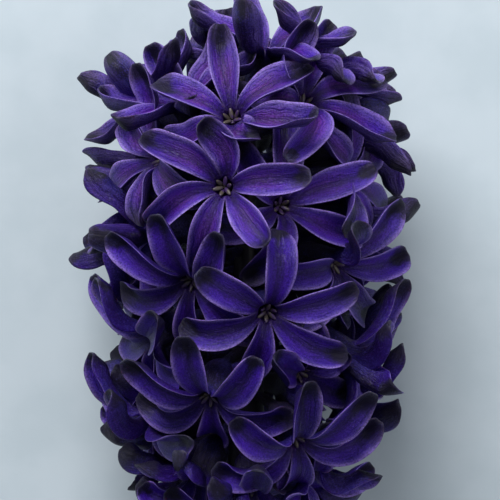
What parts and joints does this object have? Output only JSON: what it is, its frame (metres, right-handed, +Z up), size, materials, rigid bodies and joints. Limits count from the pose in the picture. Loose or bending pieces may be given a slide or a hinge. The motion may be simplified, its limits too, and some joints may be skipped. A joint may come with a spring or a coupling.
{
  "type": "hyacinth flower",
  "caption": "Cut hyacinth laid on its back: a dense raceme of tubular, six-lobed violet florets with recurved dark-tipped lobes on a bare fleshy stalk.",
  "frame": {"origin": "centre of the bounding box on the surface the cut flower lies on", "axes": "+Y along the stalk towards the tip of the raceme, +Z up from the surface, +X across"},
  "size_m": [0.0694, 0.2012, 0.0627],
  "materials": {
    "floret": "fleshy petal, satin",
    "stem": "smooth fleshy stalk, satin",
    "stamens": "dry pollen-covered anthers"
  },
  "bodies": {
    "root": {"stem": "stem", "floret_01": "floret", "floret_02": "floret", "floret_03": "floret", "floret_04": "floret", "floret_05": "floret", "floret_06": "floret", "floret_07": "floret", "floret_08": "floret", "floret_09": "floret", "floret_10": "floret", "floret_11": "floret", "floret_12": "floret", "floret_13": "floret", "floret_14": "floret", "floret_15": "floret", "floret_16": "floret", "floret_17": "floret", "floret_18": "floret", "floret_19": "floret", "floret_20": "floret", "floret_21": "floret", "floret_22": "floret", "floret_23": "floret", "floret_24": "floret", "floret_25": "floret", "floret_26": "floret", "floret_27": "floret", "floret_28": "floret", "floret_29": "floret", "floret_30": "floret", "floret_31": "floret", "floret_32": "floret", "floret_33": "floret", "floret_34": "floret", "floret_35": "floret", "floret_36": "floret", "floret_37": "floret", "floret_38": "floret", "floret_39": "floret", "floret_40": "floret", "floret_41": "floret", "floret_42": "floret", "floret_43": "floret", "floret_44": "floret", "floret_45": "floret", "floret_46": "floret", "floret_47": "floret", "floret_48": "floret", "floret_49": "floret", "floret_50": "floret", "floret_51": "floret", "floret_52": "floret"}
  },
  "joints": []
}
